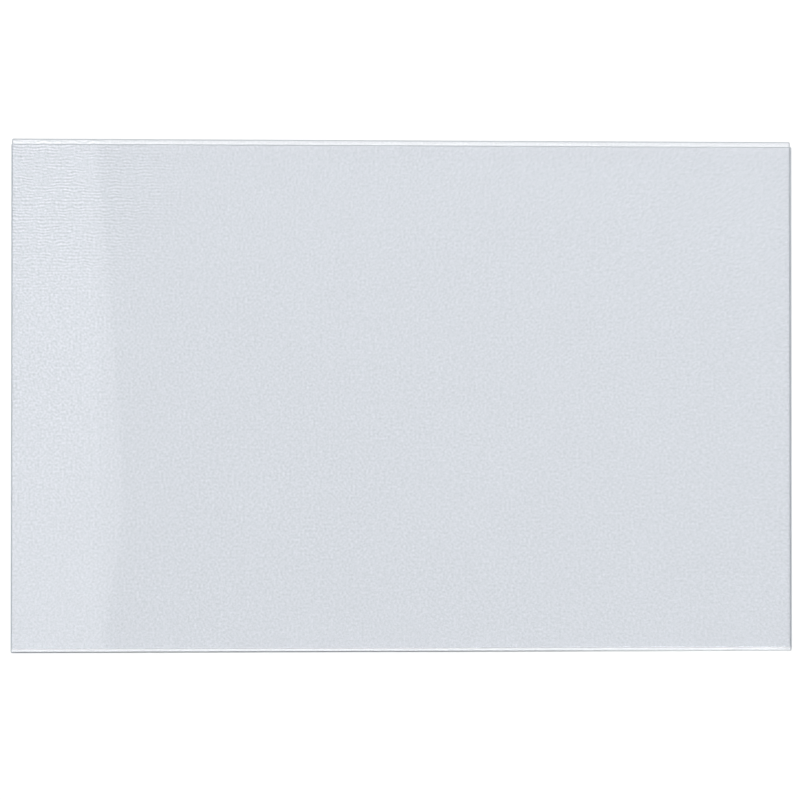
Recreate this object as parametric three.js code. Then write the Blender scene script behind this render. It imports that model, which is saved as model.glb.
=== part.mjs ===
// A clear pocket that holds a small landscape sign or card.
// It is one sheet of acrylic, cut flat with rounded corners, polished along its edges, then
// heated along one line and folded into a tight U. The pocket lies on its back panel: the fold
// is at -Y, the mouth is at +Y, both sides are open, and the back panel stands a little past
// the front panel so that a card is easy to slide in.
// Millimetres. Origin at the centre of the underside, X along the fold, Z through the pocket.

import * as THREE from "three";
import { toCreasedNormals } from "three/addons/utils/BufferGeometryUtils.js";

// Driving dimensions
const panelWidth = 160; // along the fold
const backPanelHeight = 105; // outside of the fold to the back panel's free edge
const backLip = 1.2; // how far the back panel stands past the front panel
const sheetThickness = 0.8;
const slotAtFold = 0.5; // clear space between the panels where the fold begins
const slotAtMouth = 1.2; // clear space between the panels at the front panel's free edge
const cornerRadius = 0.3; // the four free corners, seen from the front
const edgeRound = 0.2; // polished rounding along every cut edge
const mostRoundShare = 0.4; // an edge is rounded over at most this share of the sheet

// Fineness of the curved stretches
const foldSteps = 24;
const cornerSteps = 6;
const edgeSegments = 2;
const creaseAngle = Math.PI / 5; // edges sharper than this stay crisp when shaded

// Sizes that follow from the driving dimensions
const edgeRadius = Math.min(edgeRound, mostRoundShare * sheetThickness);
const foldInside = slotAtFold / 2;
const foldOutside = foldInside + sheetThickness;
const foldMiddle = foldInside + sheetThickness / 2;
const backEdgeY = backPanelHeight / 2;
const frontEdgeY = backEdgeY - backLip;
const foldCentreY = foldOutside - backPanelHeight / 2;
const foldCentreZ = foldOutside;

// The front panel leaves the fold on the tangent that reaches the mouth's opening
const mouthRun = frontEdgeY - foldCentreY;
const mouthRise = slotAtMouth - foldInside;
const mouthReach = Math.hypot(mouthRun, mouthRise);
const frontTilt = Math.atan2(mouthRise, mouthRun) - Math.asin(foldInside / mouthReach);
const frontLength = Math.sqrt(mouthReach ** 2 - foldInside ** 2);
const backLength = backEdgeY - foldCentreY;
const foldAngle = Math.PI - frontTilt;
const foldLength = foldAngle * foldMiddle;
const blankLength = backLength + foldLength + frontLength;

const clearAcrylic = new THREE.MeshStandardMaterial({
  name: "clear_acrylic",
  color: 0xd9dee5,
  roughness: 0.12,
  metalness: 0,
  transparent: true,
  opacity: 0.35,
  side: THREE.DoubleSide,
});

// How far a rounded corner of this radius stands back at a distance from the free edge.
function roundInset(radius, distance) {
  if (distance >= radius) return 0;
  return radius - Math.sqrt(radius ** 2 - (radius - distance) ** 2);
}

// Distances along the flat blank, from the back panel's free edge to the front panel's:
// close together over the rounded ends and round the fold, with one long step on each panel.
function blankRows() {
  const endZone = Math.max(cornerRadius, edgeRadius);
  const rows = [];
  for (let i = 0; i <= cornerSteps; i++) {
    rows.push(endZone * (1 - Math.cos((i / cornerSteps) * (Math.PI / 2))));
  }
  const frontRows = rows.map((distance) => blankLength - distance).reverse();
  for (let i = 0; i <= foldSteps; i++) {
    rows.push(backLength + (i / foldSteps) * foldLength);
  }
  return rows.concat(frontRows);
}

// The sheet cut across its width: x across, y from the face that ends up outside the pocket.
function sheetSection() {
  const left = edgeRadius - panelWidth / 2;
  const right = panelWidth / 2 - edgeRadius;
  const low = edgeRadius;
  const high = sheetThickness - edgeRadius;
  const quarter = Math.PI / 2;
  const section = new THREE.Shape();
  section.absarc(right, low, edgeRadius, -quarter, 0, false);
  section.absarc(right, high, edgeRadius, 0, quarter, false);
  section.absarc(left, high, edgeRadius, quarter, 2 * quarter, false);
  section.absarc(left, low, edgeRadius, 2 * quarter, 3 * quarter, false);
  section.closePath();
  return section;
}

// Carries a point of the flat blank to its place on the folded sheet. The depth is measured
// from the outside face and the distance from the back panel's free edge.
function foldPoint(x, depth, distance) {
  if (distance <= backLength) {
    return new THREE.Vector3(x, backEdgeY - distance, depth);
  }
  const turned = Math.min((distance - backLength) / foldMiddle, foldAngle);
  const past = Math.max(distance - backLength - foldLength, 0);
  const radius = foldOutside - depth;
  return new THREE.Vector3(
    x,
    foldCentreY - radius * Math.sin(turned) + past * Math.cos(frontTilt),
    foldCentreZ - radius * Math.cos(turned) + past * Math.sin(frontTilt),
  );
}

// Extrudes the flat blank one unit for each row, then rounds its ends and folds it.
function foldedPocket() {
  const rows = blankRows();
  const steps = rows.length - 1;
  const blank = new THREE.ExtrudeGeometry(sheetSection(), {
    depth: steps,
    steps,
    curveSegments: edgeSegments,
    bevelEnabled: false,
  });
  const points = blank.getAttribute("position");
  for (let i = 0; i < points.count; i++) {
    const distance = rows[Math.round(points.getZ(i))];
    const fromEdge = Math.min(distance, blankLength - distance);
    const narrowing = 1 - (2 * roundInset(cornerRadius, fromEdge)) / panelWidth;
    const thinning = 1 - (2 * roundInset(edgeRadius, fromEdge)) / sheetThickness;
    const x = points.getX(i) * narrowing;
    const depth = sheetThickness / 2 + (points.getY(i) - sheetThickness / 2) * thinning;
    const place = foldPoint(x, depth, distance);
    points.setXYZ(i, place.x, place.y, place.z);
  }
  const pocket = new THREE.Mesh(toCreasedNormals(blank, creaseAngle), clearAcrylic);
  pocket.name = "folded_pocket";
  return pocket;
}

const signHolder = new THREE.Group();
signHolder.add(foldedPocket());

export default signHolder;
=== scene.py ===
# %% [markdown]
# # A clear folded sign holder
# The object is one sheet of clear acrylic, folded along its lower edge into a flat pocket.
# It lies on its back panel on a white table, and the camera looks straight down on it.
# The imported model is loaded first, because it fixes where every surface has to be.

import math

import bmesh
import bpy
from mathutils import Euler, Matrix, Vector


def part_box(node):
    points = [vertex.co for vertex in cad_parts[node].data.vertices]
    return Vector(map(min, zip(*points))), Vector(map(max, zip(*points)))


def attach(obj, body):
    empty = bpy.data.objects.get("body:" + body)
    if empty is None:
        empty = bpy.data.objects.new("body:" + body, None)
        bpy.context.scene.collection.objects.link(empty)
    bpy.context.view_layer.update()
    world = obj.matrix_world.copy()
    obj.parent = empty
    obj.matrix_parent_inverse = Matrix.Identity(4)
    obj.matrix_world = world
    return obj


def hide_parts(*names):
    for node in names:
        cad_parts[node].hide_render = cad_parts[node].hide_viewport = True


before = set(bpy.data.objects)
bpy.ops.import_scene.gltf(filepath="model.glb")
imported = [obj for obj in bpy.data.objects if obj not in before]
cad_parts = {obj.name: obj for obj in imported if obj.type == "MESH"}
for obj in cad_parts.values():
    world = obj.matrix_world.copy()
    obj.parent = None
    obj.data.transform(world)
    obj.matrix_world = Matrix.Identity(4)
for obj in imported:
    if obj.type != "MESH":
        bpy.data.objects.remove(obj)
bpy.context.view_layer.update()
pocket_low, pocket_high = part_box("folded_pocket")
print("pocket box", tuple(pocket_low), tuple(pocket_high))

# %% [markdown]
# ## Sizes
# The width, the height and the place on the table come from the frame. The sheet's own
# section can't be read from a box, so its few sizes are named here in millimetres. The front
# panel leaves the fold on the tangent that reaches the mouth, as a springy sheet does.

# %% Sizes of the folded sheet
MM = 0.001
SHEET = 0.8 * MM
SLOT_AT_FOLD = 0.5 * MM
SLOT_AT_MOUTH = 1.2 * MM
BACK_LIP = 1.2 * MM
CORNER_RADIUS = 0.3 * MM
EDGE_ROUND = 0.2 * MM

panel_width = pocket_high[0] - pocket_low[0]
back_edge_y = pocket_high[1]
front_edge_y = back_edge_y - BACK_LIP
fold_inside = SLOT_AT_FOLD / 2
fold_middle = fold_inside + SHEET / 2
fold_outside = fold_inside + SHEET
fold_centre = Vector((0, pocket_low[1] + fold_outside, pocket_low[2] + fold_outside))
mouth_run = front_edge_y - fold_centre.y
mouth_rise = SLOT_AT_MOUTH - fold_inside
mouth_reach = math.hypot(mouth_run, mouth_rise)
front_tilt = math.atan2(mouth_rise, mouth_run) - math.asin(fold_inside / mouth_reach)
front_length = math.sqrt(mouth_reach**2 - fold_inside**2)
back_length = back_edge_y - fold_centre.y
fold_angle = math.pi - front_tilt
print("front panel tilts by", round(math.degrees(front_tilt), 3), "degrees")

# %% [markdown]
# ## Small helpers
# An operator works on whatever is selected, so each step first clears the selection and then
# picks vertices by their place. Colours are written as the hex values that a screen shows and
# turned to the linear values that a renderer adds up.


# %% Helpers
def clear_selection():
    """Leave object mode with nothing selected, the CAD nodes included."""
    if bpy.context.object and bpy.context.object.mode != "OBJECT":
        bpy.ops.object.mode_set(mode="OBJECT")
    bpy.ops.object.select_all(action="DESELECT")


def pick_vertices(sheet, wanted):
    """In edit mode, select only the vertices whose place the test accepts."""
    bpy.ops.mesh.select_mode(type="VERT")
    bpy.ops.mesh.select_all(action="DESELECT")
    mesh = bmesh.from_edit_mesh(sheet.data)
    for vertex in mesh.verts:
        vertex.select = wanted(vertex.co)
    mesh.select_flush(True)
    bmesh.update_edit_mesh(sheet.data)
    return sum(vertex.select for vertex in mesh.verts)


def linear(hex_colour):
    """A screen colour such as D9DEE5 as linear red, green, blue and alpha."""
    parts = [int(hex_colour[i : i + 2], 16) / 255 for i in (0, 2, 4)]
    return [c / 12.92 if c <= 0.04045 else ((c + 0.055) / 1.055) ** 2.4 for c in parts] + [1]


def add_node(tree, kind, links=(), **settings):
    """Add one shader node with its settings. Each link is an input socket and what feeds it."""
    node = tree.nodes.new(kind)
    for name, value in settings.items():
        if name in node.inputs:
            node.inputs[name].default_value = value
        else:
            setattr(node, name, value)
    for socket, source in links:
        tree.links.new(source, node.inputs[socket])
    return node


def calculate(tree, operation, *terms):
    """One math node. Each term is a number or the output that feeds it."""
    node = add_node(tree, "ShaderNodeMath", operation=operation)
    for socket, term in zip(node.inputs, terms):
        if isinstance(term, (int, float)):
            socket.default_value = term
        else:
            tree.links.new(term, socket)
    return node.outputs["Value"]


def ramp(tree, value, low, high, at_low, at_high):
    """A value that runs smoothly from one figure to another between two places."""
    node = add_node(
        tree, "ShaderNodeMapRange", [("Value", value)], interpolation_type="SMOOTHSTEP"
    )
    ends = {"From Min": low, "From Max": high, "To Min": at_low, "To Max": at_high}
    for name, number in ends.items():
        node.inputs[name].default_value = number
    return node.outputs["Result"]


def new_material(name):
    """An empty node material and its tree."""
    material = bpy.data.materials.new(name)
    material.use_nodes = True
    material.node_tree.nodes.clear()
    return material, material.node_tree


# %% [markdown]
# ## Clear acrylic
# Extruded acrylic bends light a little less than glass does, with an index of 1.49, and is
# never quite colourless: a pale blue-grey shows where two layers lie over white. Its faces
# have a fine grain from the rollers, even over most of the panel. At the left end, round the
# softbox's reflection, the grain is painted stronger and drawn out into streaks across the
# upper part: painted glints, standing in for that reflection's sparkle on the grain. The cut
# edges are polished round, but no polish takes out every saw mark: they still scatter some
# light, and their grey is painted shade that shows them as thin dark lines. The outermost
# strip of the fold is painted shade too, a dark grey line that fades out at its right end. A
# shadow ray meets a faintly tinted transparent surface in place of the glass, so that the
# table under the pocket stays lit.

# %% Materials of the sheet
ACRYLIC_IOR = 1.49
FACE_TINTS = "E3E5E8", "ECEDF0"  # in the dark and light places of the grain and its painted glints
MIDDLE_TINT = "E8E9EC"  # halfway between the two
# painted shade: the grey that shows the cut edges as thin dark lines
EDGE_SHADE_TINT = "AEB3B8"
FOLD_SHADE_TINTS = "60656B", "D8DBDE"  # painted shade: where the fold's dark line is darkest and where it fades out
SHADOW_TINT = "FBFCFC"  # what each surface gives the light on its way to the table

GRAIN_PITCH = 0.45 * MM  # from one grain to the next
GLINT_STREAK_PITCH = 0.65 * MM  # from one streak to the next
GLINT_STREAK_DEPTH = 2.45  # how deep the painted glint streaks are next to the grain
GLINT_STREAK_SWAY = 5.0
WAVE_NODE_TURN = 20.0  # the wave node turns by this many radians per unit of its scale
TEXTURE_MIDDLE = 0.5  # both patterns swing evenly about this
LEFT_END_GLINT_GRAIN = 0.65  # how much painted glint is added to the grain at the left end
GLINT_GRAIN_LEFT_OVER = 0.1  # the share of it that is left towards the fold

# Where each of them fades, across the panel or up it
GLINT_GRAIN_FROM, GLINT_GRAIN_TO = -76 * MM, -50 * MM
GLINT_GRAIN_LOW, GLINT_GRAIN_HIGH = -50 * MM, 5 * MM
GLINT_STREAKS_FROM, GLINT_STREAKS_TO = -74 * MM, -36 * MM
GLINT_STREAKS_LOW, GLINT_STREAKS_HIGH = 10 * MM, 50 * MM
FOLD_SHADE_FADES_FROM, FOLD_SHADE_FADES_TO = 10 * MM, 74 * MM


def grain(tree):
    """How light the sheet is at a place, from 0 to 1, alike through its whole thickness, with
    painted glints at the left end.
    """
    place = add_node(tree, "ShaderNodeTexCoord").outputs["Object"]
    axes = add_node(tree, "ShaderNodeSeparateXYZ", [("Vector", place)]).outputs
    fine = add_node(
        tree,
        "ShaderNodeTexNoise",
        [("Vector", place)],
        noise_dimensions="2D",
        Scale=1 / GRAIN_PITCH,
        Detail=0,
    )
    streaks = add_node(
        tree,
        "ShaderNodeTexWave",
        [("Vector", place)],
        bands_direction="Y",
        Scale=2 * math.pi / WAVE_NODE_TURN / GLINT_STREAK_PITCH,
        Distortion=GLINT_STREAK_SWAY,
        Detail=0,
    )
    # painted glints: the grain is made stronger round the softbox's reflection at the left end
    added = ramp(tree, axes["X"], GLINT_GRAIN_FROM, GLINT_GRAIN_TO, LEFT_END_GLINT_GRAIN, 0)
    faded = ramp(tree, axes["Y"], GLINT_GRAIN_LOW, GLINT_GRAIN_HIGH, GLINT_GRAIN_LEFT_OVER, 1)
    strength = calculate(tree, "MULTIPLY_ADD", added, faded, 1)
    spread = calculate(tree, "SUBTRACT", fine.outputs["Fac"], TEXTURE_MIDDLE)
    base = calculate(tree, "MULTIPLY_ADD", spread, strength, TEXTURE_MIDDLE)
    # painted glints: streaks across the upper part of the left end
    leftward = ramp(tree, axes["X"], GLINT_STREAKS_FROM, GLINT_STREAKS_TO, GLINT_STREAK_DEPTH, 0)
    upward = ramp(tree, axes["Y"], GLINT_STREAKS_LOW, GLINT_STREAKS_HIGH, 0, 1)
    depth = calculate(tree, "MULTIPLY", leftward, upward)
    swing = calculate(tree, "SUBTRACT", streaks.outputs["Fac"], TEXTURE_MIDDLE)
    return calculate(tree, "MULTIPLY_ADD", swing, depth, base)


def tint_between(tree, share, first, second):
    """A colour that goes from one to the other with the share."""
    mix = add_node(tree, "ShaderNodeMix", [(0, share)], data_type="RGBA", clamp_factor=False)
    mix.inputs[6].default_value = linear(first)
    mix.inputs[7].default_value = linear(second)
    return mix.outputs[2]


def acrylic(tree, tint, roughness, transmission):
    """Acrylic of one finish. The tint is a hex value or the output that feeds it."""
    shader = add_node(tree, "ShaderNodeBsdfPrincipled", Roughness=roughness, IOR=ACRYLIC_IOR)
    shader.inputs["Transmission Weight"].default_value = transmission
    if isinstance(tint, str):
        shader.inputs["Base Color"].default_value = linear(tint)
    else:
        tree.links.new(tint, shader.inputs["Base Color"])
    return shader


def clear_acrylic(tree, tint):
    """Polished clear acrylic."""
    return acrylic(tree, tint, roughness=0.02, transmission=1.0)


def scattering_acrylic(tree, tint):
    """Acrylic that is only half clear and scatters the rest of the light."""
    return acrylic(tree, tint, roughness=0.35, transmission=0.55)


def acrylic_surface(tree, shader):
    """Show the shader to every ray but a shadow ray, which passes with a faint tint."""
    clear = add_node(tree, "ShaderNodeBsdfTransparent", Color=linear(SHADOW_TINT))
    shadow = add_node(tree, "ShaderNodeLightPath").outputs["Is Shadow Ray"]
    surface = add_node(
        tree,
        "ShaderNodeMixShader",
        [(0, shadow), (1, shader), (2, clear.outputs["BSDF"])],
    )
    add_node(tree, "ShaderNodeOutputMaterial", [("Surface", surface.outputs["Shader"])])


def face_acrylic():
    """The grained faces of the sheet."""
    material, tree = new_material("extruded_clear_acrylic")
    glass = clear_acrylic(tree, tint_between(tree, grain(tree), *FACE_TINTS))
    acrylic_surface(tree, glass.outputs["BSDF"])
    return material


def cut_edge_acrylic_painted_shade():
    """The polished edges, which still scatter some light, in a grey that is painted shade."""
    material, tree = new_material("cut_edge_acrylic_painted_shade")
    acrylic_surface(tree, scattering_acrylic(tree, EDGE_SHADE_TINT).outputs["BSDF"])
    return material


def fold_strip_painted_shade():
    """Painted shade along the outside of the fold, clear to light inside the sheet."""
    material, tree = new_material("fold_acrylic_painted_shade")
    place = add_node(tree, "ShaderNodeTexCoord").outputs["Object"]
    across = add_node(tree, "ShaderNodeSeparateXYZ", [("Vector", place)]).outputs["X"]
    # painted shade: darkest at the left, fading out towards the right end
    share = ramp(tree, across, FOLD_SHADE_FADES_FROM, FOLD_SHADE_FADES_TO, 0, 1)
    shaded_strip = scattering_acrylic(tree, tint_between(tree, share, *FOLD_SHADE_TINTS))
    glass = clear_acrylic(tree, MIDDLE_TINT)
    inside = add_node(tree, "ShaderNodeNewGeometry").outputs["Backfacing"]
    both = add_node(
        tree,
        "ShaderNodeMixShader",
        [(0, inside), (1, shaded_strip.outputs["BSDF"]), (2, glass.outputs["BSDF"])],
    )
    acrylic_surface(tree, both.outputs["Shader"])
    return material


sheet_finishes = [face_acrylic(), cut_edge_acrylic_painted_shade(), fold_strip_painted_shade()]
FACES, CUT_EDGES, SHADED_FOLD_STRIP = range(3)

# %% [markdown]
# ## The folded sheet
# On the real object a flat blank is heated along one line and folded over a thin bar. The
# same can be done here: a grid is the back panel's middle surface, its edge is spun round the
# fold's centre, and the spun edge is extruded row by row to the front panel's free edge.
# Modelling the middle surface first keeps the sheet equally thick all the way round, which a
# box with a slot cut in it wouldn't.

# %% Back panel, fold and front panel as one surface
COLUMNS = 64
ROWS = 42
FOLD_STEPS = 24
CLOSE = 0.01 * MM

clear_selection()
bpy.ops.mesh.primitive_grid_add(
    x_subdivisions=COLUMNS,
    y_subdivisions=ROWS,
    size=1,
    location=(0, back_edge_y - back_length / 2, pocket_low[2] + SHEET / 2),
)
sheet = bpy.context.object
sheet.name = "clear_folded_sheet"
sheet.scale = (panel_width, back_length, 1)
bpy.ops.object.transform_apply(location=True, rotation=True, scale=True)
for finish in sheet_finishes:
    sheet.data.materials.append(finish)

bpy.ops.object.mode_set(mode="EDIT")
pick_vertices(sheet, lambda place: place.y < fold_centre.y + CLOSE)
bpy.ops.mesh.spin(steps=FOLD_STEPS, angle=fold_angle, center=fold_centre, axis=(1, 0, 0))

fold_end = fold_centre + fold_middle * Vector((0, -math.sin(front_tilt), math.cos(front_tilt)))
front_row = Vector((0, math.cos(front_tilt), math.sin(front_tilt))) * (front_length / ROWS)
picked = pick_vertices(sheet, lambda place: (place - fold_end).yz.length < CLOSE)
print("vertices on the edge that the front panel grows from", picked)
for _ in range(ROWS):
    bpy.ops.mesh.extrude_region_move(TRANSFORM_OT_translate={"value": front_row})

# %% [markdown]
# ## Corners and a slight bow
# The free corners are only just broken, and on the open surface one vertex bevel does it. A
# thin panel is never quite flat: this one is pressed in by two tenths of a millimetre along
# its left side, and that is what bends the edge of the lamp's reflection.

# %% Round the free corners and bow the front panel
CORNER_SEGMENTS = 6
BOW = 0.22 * MM  # how far the left side is pressed in
BOW_SOFTNESS = 0.15  # rounds the deepest place, as a share of the run to either end
BOW_POWER = 1.5  # how fast it deepens towards the side
BOW_START = -40 * MM  # where across the panel the bow begins
BOW_DEEPEST = -21 * MM  # where along the side it is deepest


def at_free_corner(place):
    """True at the ends of the two free edges."""
    at_side = abs(abs(place.x) - panel_width / 2) < CLOSE
    on_back = place.z < fold_centre.z and abs(place.y - back_edge_y) < CLOSE
    on_front = place.z > fold_centre.z and abs(place.y - front_edge_y) < SHEET / 10
    return at_side and (on_back or on_front)


def bow_depth(place):
    """How far the front panel is pressed in at a place: nothing at the fold or the mouth."""
    across = max(BOW_START - place.x, 0) / (BOW_START + panel_width / 2)
    end = front_edge_y if place.y > BOW_DEEPEST else fold_centre.y
    run = (place.y - BOW_DEEPEST) / (end - BOW_DEEPEST)
    along = max(1 - math.hypot(run, BOW_SOFTNESS), 0)
    return BOW * across**BOW_POWER * along


picked = pick_vertices(sheet, at_free_corner)
print("free corners", picked)
bpy.ops.mesh.bevel(
    offset_type="OFFSET", offset=CORNER_RADIUS, segments=CORNER_SEGMENTS, affect="VERTICES"
)
bpy.ops.mesh.select_all(action="SELECT")
bpy.ops.mesh.remove_doubles(threshold=CLOSE / 10)
bpy.ops.mesh.normals_make_consistent(inside=False)
bpy.ops.object.mode_set(mode="OBJECT")
for vertex in sheet.data.vertices:
    if vertex.co.z > fold_centre.z and vertex.co.y > fold_centre.y:
        vertex.co.z -= bow_depth(vertex.co)

# %% [markdown]
# ## The wall
# The wall is added last, so that it follows the bow. Half of it goes to each side of the
# middle surface, and its rim and the rounding of its edges get a material of their own. That
# works only because the materials are on the mesh before the modifiers are applied.

# %% Give the sheet its wall and polished edges
POLISH_SEGMENTS = 5
SHARP = math.radians(50)

wall = sheet.modifiers.new("wall", "SOLIDIFY")
wall.thickness = SHEET
wall.offset = 0
wall.use_even_offset = True
wall.material_offset_rim = CUT_EDGES
polish = sheet.modifiers.new("polish", "BEVEL")
polish.width = EDGE_ROUND
polish.segments = POLISH_SEGMENTS
polish.limit_method = "ANGLE"
polish.angle_limit = SHARP
polish.use_clamp_overlap = False
polish.material = CUT_EDGES
for modifier in ("wall", "polish"):
    bpy.ops.object.modifier_apply(modifier=modifier)
bpy.ops.object.shade_smooth_by_angle(angle=SHARP)
even = sheet.modifiers.new("even_normals", "WEIGHTED_NORMAL")
even.keep_sharp = True
bpy.ops.object.modifier_apply(modifier=even.name)
print("sheet faces", len(sheet.data.polygons))

# %% [markdown]
# ## The painted shade along the fold
# The outside of the fold is painted a little grey, as a dark line of painted shade.
# The faces of that strip are found by how far they lean over, and get the greyer material.

# %% Mark the outermost strip of the fold
STRIP_LEAN = math.radians(42)  # faces that lean over by more than this are in the strip

in_strip = 0
for face in sheet.data.polygons:
    bent_over = face.center.y < fold_centre.y and -face.normal.y > math.sin(STRIP_LEAN)
    if bent_over and face.material_index == FACES:
        face.material_index = SHADED_FOLD_STRIP
        in_strip += 1
on_edges = sum(face.material_index == CUT_EDGES for face in sheet.data.polygons)
print("faces in the fold's outer strip", in_strip, "and on the cut edges", on_edges)

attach(sheet, "root")
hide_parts("folded_pocket")

# %% [markdown]
# ## Table
# The photograph's ground is pure white. The table is white paint with half of its light its
# own, for the rays that the camera sees, straight or through the sheet: that lifts it to
# white and still lets the pocket's faint shadow show.

# %% Table
TABLE_SIZE = 3.0
TABLE_WHITE = "F5F5F5"
TABLE_GLOW = 0.5
TABLE_GAP = 0.05 * MM

clear_selection()
bpy.ops.mesh.primitive_plane_add(size=TABLE_SIZE, location=(0, 0, pocket_low[2] - TABLE_GAP))
table = bpy.context.object
table.name = "white_table"
bpy.ops.object.transform_apply(location=True, rotation=True, scale=True)
paint, tree = new_material("white_table_paint")
rays = add_node(tree, "ShaderNodeLightPath").outputs
seen = calculate(tree, "MAXIMUM", rays["Is Camera Ray"], rays["Is Transmission Ray"])
glow_share = calculate(tree, "MULTIPLY", seen, TABLE_GLOW)
matt = add_node(tree, "ShaderNodeBsdfDiffuse", Color=linear(TABLE_WHITE))
glow = add_node(tree, "ShaderNodeEmission", Color=(1, 1, 1, 1), Strength=1.0)
both = add_node(
    tree,
    "ShaderNodeMixShader",
    [(0, glow_share), (1, matt.outputs["BSDF"]), (2, glow.outputs["Emission"])],
)
add_node(tree, "ShaderNodeOutputMaterial", [("Surface", both.outputs["Shader"])])
table.data.materials.append(paint)

# %% [markdown]
# ## Room
# The room is plain soft white, and the camera sees it as pure white. Acrylic only shows by
# what it mirrors and bends, so a dark band lies round the horizon for every ray but a diffuse
# one: the edges pick it up as thin dark lines, and the table is lit as if it weren't there.

# %% World
ROOM_LIGHT = 0.6
HORIZON_LIGHT = 0.06
HORIZON_TOP = 0.5  # the sine of the height at which the dark band round the room ends

world = bpy.data.worlds.new("white_studio")
bpy.context.scene.world = world
world.use_nodes = True
tree = world.node_tree
tree.nodes.clear()
rays = add_node(tree, "ShaderNodeLightPath").outputs
direction = add_node(tree, "ShaderNodeTexCoord").outputs["Generated"]
height = add_node(tree, "ShaderNodeSeparateXYZ", [("Vector", direction)]).outputs["Z"]
banded = ramp(tree, height, 0, HORIZON_TOP, HORIZON_LIGHT, ROOM_LIGHT)
even_room = calculate(tree, "MULTIPLY", rays["Is Diffuse Ray"], ROOM_LIGHT)
room_strength = calculate(tree, "MAXIMUM", banded, even_room)
room = add_node(
    tree, "ShaderNodeBackground", [("Strength", room_strength)], Color=(1, 1, 1, 1)
)
ground = add_node(tree, "ShaderNodeBackground", Color=(1, 1, 1, 1), Strength=1.0)
lit, shown = room.outputs["Background"], ground.outputs["Background"]
seen = add_node(
    tree, "ShaderNodeMixShader", [(0, rays["Is Camera Ray"]), (1, lit), (2, shown)]
)
add_node(tree, "ShaderNodeOutputWorld", [("Surface", seen.outputs["Shader"])])

# %% [markdown]
# ## Light
# One broad lamp on each side lights the table evenly. Both hang high, so that a panel seen
# from low down doesn't mirror them. A dim softbox hangs over the left side, just far enough
# out for its mirror image to cover the pocket's left end.


# %% Lamps
def add_lamp(name, place, size, power):
    """A rectangular lamp that faces the pocket."""
    lamp = bpy.data.lights.new(name, "AREA")
    lamp.shape = "RECTANGLE"
    lamp.size, lamp.size_y = size
    lamp.energy = power
    body = bpy.data.objects.new(name, lamp)
    body.location = place
    body.rotation_mode = "QUATERNION"
    body.rotation_quaternion = (-Vector(place)).to_track_quat("-Z", "Y")
    bpy.context.collection.objects.link(body)
    return body


LAMP_ASIDE, LAMP_BEHIND, LAMP_HEIGHT = 0.5, 0.75, 1.3
LAMP_SIZE = (0.7, 0.7)
LEFT_POWER, RIGHT_POWER = 7.4, 12.3

add_lamp("left_lamp", (-LAMP_ASIDE, LAMP_BEHIND, LAMP_HEIGHT), LAMP_SIZE, LEFT_POWER)
add_lamp("right_lamp", (LAMP_ASIDE, LAMP_BEHIND, LAMP_HEIGHT), LAMP_SIZE, RIGHT_POWER)

CAMERA_DISTANCE = 0.6818
CAMERA_TURN = math.radians(2.8)  # the camera stands this much towards the left end
CAMERA_TIP = math.radians(1.0)  # and this much towards the fold
CAMERA_X = -CAMERA_DISTANCE * math.sin(CAMERA_TURN)
SOFTBOX_HEIGHT = 1.36
SOFTBOX_SIZE = (0.6, 1.6)
SOFTBOX_RADIANCE = 0.43
SOFTBOX_SLANT = math.radians(0.7)
BAND_EDGE_X = -61.4 * MM  # where the softbox's reflection ends on the pocket

reach = SOFTBOX_HEIGHT / CAMERA_DISTANCE
mirrored = BAND_EDGE_X * (1 + reach) - CAMERA_X * reach
softbox = add_lamp(
    "softbox",
    (mirrored - SOFTBOX_SIZE[0] / 2, 0, SOFTBOX_HEIGHT),
    SOFTBOX_SIZE,
    SOFTBOX_RADIANCE * math.pi * SOFTBOX_SIZE[0] * SOFTBOX_SIZE[1],
)
softbox.rotation_mode = "XYZ"
softbox.rotation_euler = (0, 0, SOFTBOX_SLANT)

# %% [markdown]
# ## Camera
# A long lens above the pocket keeps its sides almost parallel. The left end stands a little
# taller in the photograph than the right, so the camera is turned about the pocket's middle
# by a few degrees. It aims at the place that the photograph has in its centre.

# %% Camera
LENS = 150
SENSOR = 36
AIM = Vector((-0.75 * MM, -0.90 * MM, pocket_high[2]))  # what the picture's centre shows

camera_data = bpy.data.cameras.new("camera")
camera_data.lens = LENS
camera_data.sensor_width = SENSOR
camera = bpy.data.objects.new("camera", camera_data)
camera.rotation_euler = (CAMERA_TIP, -CAMERA_TURN, 0)
camera.location = AIM + Euler(camera.rotation_euler).to_matrix() @ Vector((0, 0, CAMERA_DISTANCE))
bpy.context.collection.objects.link(camera)
bpy.context.scene.camera = camera
bpy.context.scene.view_settings.view_transform = "Standard"
